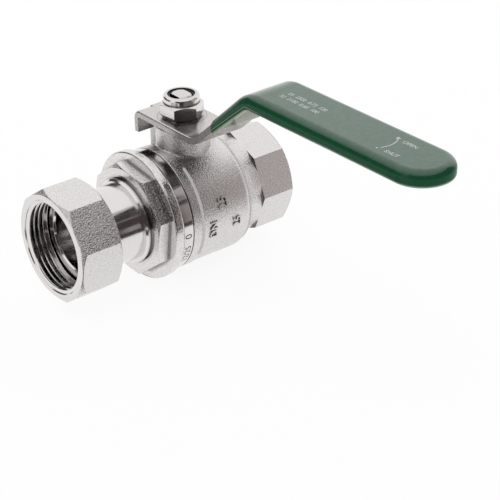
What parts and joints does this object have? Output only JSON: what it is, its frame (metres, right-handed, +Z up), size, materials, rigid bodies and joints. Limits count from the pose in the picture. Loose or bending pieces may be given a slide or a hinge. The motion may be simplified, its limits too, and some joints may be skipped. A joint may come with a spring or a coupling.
{
  "type": "isolating ball valve",
  "caption": "Full-bore ball valve: female thread at one end, loose union nut on a plain tail at the other, cranked lever with a green sleeve held by a lock nut.",
  "frame": {"origin": "on the pipe axis 1.6 mm inside the outlet's end face, where the outlet's full thread begins", "axes": "+X along the pipe out of the outlet thread, +Z up along the stem, lever along -Y with the valve shut"},
  "size_m": [0.1153, 0.1917, 0.1036],
  "materials": {
    "cast_nickel": "blasted nickel plate",
    "turned_nickel": "turned nickel plate",
    "polished_ball": "polished chrome plate",
    "plated_steel": "satin plate",
    "bright_steel": "bright plate",
    "green_sleeve": "gloss soft plastic",
    "white_plastic": "plain",
    "insert_plastic": "plain",
    "black_rubber": "plain"
  },
  "bodies": {
    "valve": {"valve_body": "cast_nickel", "end_cap": "cast_nickel", "union_tail": "turned_nickel", "seat_ring_inlet": "white_plastic", "seat_ring_outlet": "white_plastic", "end_cap_seal": "black_rubber"},
    "lever_set": {"lever": "plated_steel", "lever_sleeve": "green_sleeve", "lever_lock_nut": "bright_steel", "lock_nut_insert": "insert_plastic", "stem": "turned_nickel", "stem_o_ring_lower": "black_rubber", "stem_o_ring_upper": "black_rubber", "stem_thrust_washer": "white_plastic", "ball": "polished_ball"},
    "nut": {"union_nut": "cast_nickel"}
  },
  "joints": [
    {"name": "lever_turn", "type": "hinge", "parent": "valve", "child": "lever_set", "pos_m": [-0.04195, 0, 0.04], "axis": [0, 0, 1], "range_deg": [0, 90]},
    {"name": "union_nut_spin", "type": "hinge", "parent": "valve", "child": "nut", "pos_m": [-0.1045, 0, 0], "axis": [-1, 0, 0], "continuous": true}
  ]
}
